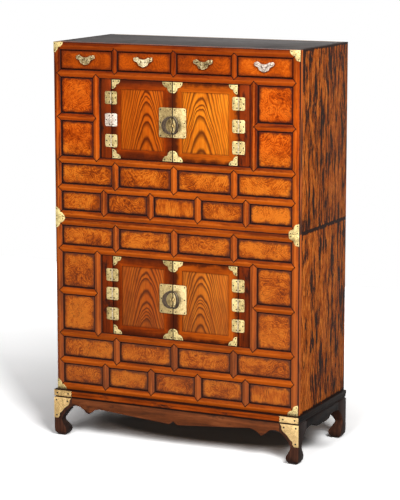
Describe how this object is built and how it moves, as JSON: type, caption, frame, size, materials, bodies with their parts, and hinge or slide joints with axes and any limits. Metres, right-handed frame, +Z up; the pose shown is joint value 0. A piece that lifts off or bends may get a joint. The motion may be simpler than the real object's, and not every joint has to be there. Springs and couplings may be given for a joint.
{
  "type": "two tier chest",
  "caption": "Tall two tier Korean chest on a low stand: ridged lattice front with raised burl panels, framed doors on brass hinges and a row of small drawers.",
  "frame": {"origin": "on the floor, at the middle of the object's width and depth", "axes": "+Z up, -Y the side with the doors and drawers, +X the viewer's right"},
  "size_m": [0.876, 0.408, 1.3],
  "materials": {
    "stand_wood": "oiled zelkova, darkened",
    "lattice_wood": "oiled zelkova, red-brown",
    "panel_burl": "burl zelkova, oiled",
    "door_burl": "figured elm, oiled",
    "side_board": "pine boards, stained and streaked",
    "top_board": "pine, dull and dusty",
    "inner_wood": "plain paulownia",
    "brass": "aged sheet brass"
  },
  "bodies": {
    "stand": {"stand_top_frame": "stand_wood", "stand_aprons": "stand_wood", "stand_legs": "stand_wood", "stand_plates": "brass"},
    "lower_case": {"lower_sides": "side_board", "lower_back": "inner_wood", "lower_bottom": "inner_wood", "lower_top": "inner_wood", "lower_posts": "lattice_wood", "lower_rails": "lattice_wood", "lower_stiles": "lattice_wood", "lower_jambs": "lattice_wood", "lower_panels": "panel_burl", "lower_corner_plates": "brass", "lower_hinge_leaves": "brass"},
    "upper_case": {"upper_sides": "side_board", "upper_back": "inner_wood", "upper_bottom": "inner_wood", "upper_top": "top_board", "upper_posts": "lattice_wood", "upper_rails": "lattice_wood", "upper_stiles": "lattice_wood", "upper_jambs": "lattice_wood", "upper_panels": "panel_burl", "upper_corner_plates": "brass", "upper_hinge_leaves": "brass", "dust_board": "inner_wood", "drawer_partitions": "inner_wood"},
    "lower_left_door": {"lower_left_door_frame": "lattice_wood", "lower_left_door_panel": "door_burl", "lower_left_door_fittings": "brass"},
    "lower_left_door_crescent": {"lower_left_door_pull": "brass"},
    "lower_right_door": {"lower_right_door_frame": "lattice_wood", "lower_right_door_panel": "door_burl", "lower_right_door_fittings": "brass"},
    "lower_right_door_crescent": {"lower_right_door_pull": "brass"},
    "upper_left_door": {"upper_left_door_frame": "lattice_wood", "upper_left_door_panel": "door_burl", "upper_left_door_fittings": "brass"},
    "upper_left_door_crescent": {"upper_left_door_pull": "brass"},
    "upper_right_door": {"upper_right_door_frame": "lattice_wood", "upper_right_door_panel": "door_burl", "upper_right_door_fittings": "brass"},
    "upper_right_door_crescent": {"upper_right_door_pull": "brass"},
    "drawer_1": {"drawer_1_front": "panel_burl", "drawer_1_box": "inner_wood", "drawer_1_posts": "brass"},
    "drawer_1_bail": {"drawer_1_pull": "brass"},
    "drawer_2": {"drawer_2_front": "panel_burl", "drawer_2_box": "inner_wood", "drawer_2_posts": "brass"},
    "drawer_2_bail": {"drawer_2_pull": "brass"},
    "drawer_3": {"drawer_3_front": "panel_burl", "drawer_3_box": "inner_wood", "drawer_3_posts": "brass"},
    "drawer_3_bail": {"drawer_3_pull": "brass"},
    "drawer_4": {"drawer_4_front": "panel_burl", "drawer_4_box": "inner_wood", "drawer_4_posts": "brass"},
    "drawer_4_bail": {"drawer_4_pull": "brass"}
  },
  "joints": [
    {"name": "lower_case_lift", "type": "slide", "parent": "stand", "child": "lower_case", "axis": [0, 0, 1], "range_m": [0, 0.3]},
    {"name": "upper_case_lift", "type": "slide", "parent": "lower_case", "child": "upper_case", "axis": [0, 0, 1], "range_m": [0, 0.3]},
    {"name": "lower_left_door_swing", "type": "hinge", "parent": "lower_case", "child": "lower_left_door", "pos_m": [-0.2235, -0.1849, 0.489], "axis": [0, 0, -1], "range_deg": [0, 165]},
    {"name": "lower_left_door_crescent_swing", "type": "hinge", "parent": "lower_left_door", "child": "lower_left_door_crescent", "pos_m": [-0.01, -0.1882, 0.492], "axis": [0, 0, 1], "range_deg": [-30, 60]},
    {"name": "lower_right_door_swing", "type": "hinge", "parent": "lower_case", "child": "lower_right_door", "pos_m": [0.2235, -0.1849, 0.489], "axis": [0, 0, 1], "range_deg": [0, 165]},
    {"name": "lower_right_door_crescent_swing", "type": "hinge", "parent": "lower_right_door", "child": "lower_right_door_crescent", "pos_m": [0, -0.1882, 0.492], "axis": [0, 0, -1], "range_deg": [-30, 60]},
    {"name": "upper_left_door_swing", "type": "hinge", "parent": "upper_case", "child": "upper_left_door", "pos_m": [-0.2235, -0.1849, 1.0605], "axis": [0, 0, -1], "range_deg": [0, 165]},
    {"name": "upper_left_door_crescent_swing", "type": "hinge", "parent": "upper_left_door", "child": "upper_left_door_crescent", "pos_m": [-0.01, -0.1882, 1.05], "axis": [0, 0, 1], "range_deg": [-30, 60]},
    {"name": "upper_right_door_swing", "type": "hinge", "parent": "upper_case", "child": "upper_right_door", "pos_m": [0.2235, -0.1849, 1.0605], "axis": [0, 0, 1], "range_deg": [0, 165]},
    {"name": "upper_right_door_crescent_swing", "type": "hinge", "parent": "upper_right_door", "child": "upper_right_door_crescent", "pos_m": [0, -0.1882, 1.05], "axis": [0, 0, -1], "range_deg": [-30, 60]},
    {"name": "drawer_1_slide", "type": "slide", "parent": "upper_case", "child": "drawer_1", "axis": [0, -1, 0], "range_m": [0, 0.24]},
    {"name": "drawer_1_bail_swing", "type": "hinge", "parent": "drawer_1", "child": "drawer_1_bail", "pos_m": [-0.31188, -0.1917, 1.2544], "axis": [-1, 0, 0], "range_deg": [0, 80]},
    {"name": "drawer_2_slide", "type": "slide", "parent": "upper_case", "child": "drawer_2", "axis": [0, -1, 0], "range_m": [0, 0.24]},
    {"name": "drawer_2_bail_swing", "type": "hinge", "parent": "drawer_2", "child": "drawer_2_bail", "pos_m": [-0.10437, -0.1917, 1.2544], "axis": [-1, 0, 0], "range_deg": [0, 80]},
    {"name": "drawer_3_slide", "type": "slide", "parent": "upper_case", "child": "drawer_3", "axis": [0, -1, 0], "range_m": [0, 0.24]},
    {"name": "drawer_3_bail_swing", "type": "hinge", "parent": "drawer_3", "child": "drawer_3_bail", "pos_m": [0.10437, -0.1917, 1.2544], "axis": [-1, 0, 0], "range_deg": [0, 80]},
    {"name": "drawer_4_slide", "type": "slide", "parent": "upper_case", "child": "drawer_4", "axis": [0, -1, 0], "range_m": [0, 0.24]},
    {"name": "drawer_4_bail_swing", "type": "hinge", "parent": "drawer_4", "child": "drawer_4_bail", "pos_m": [0.31188, -0.1917, 1.2544], "axis": [-1, 0, 0], "range_deg": [0, 80]}
  ]
}
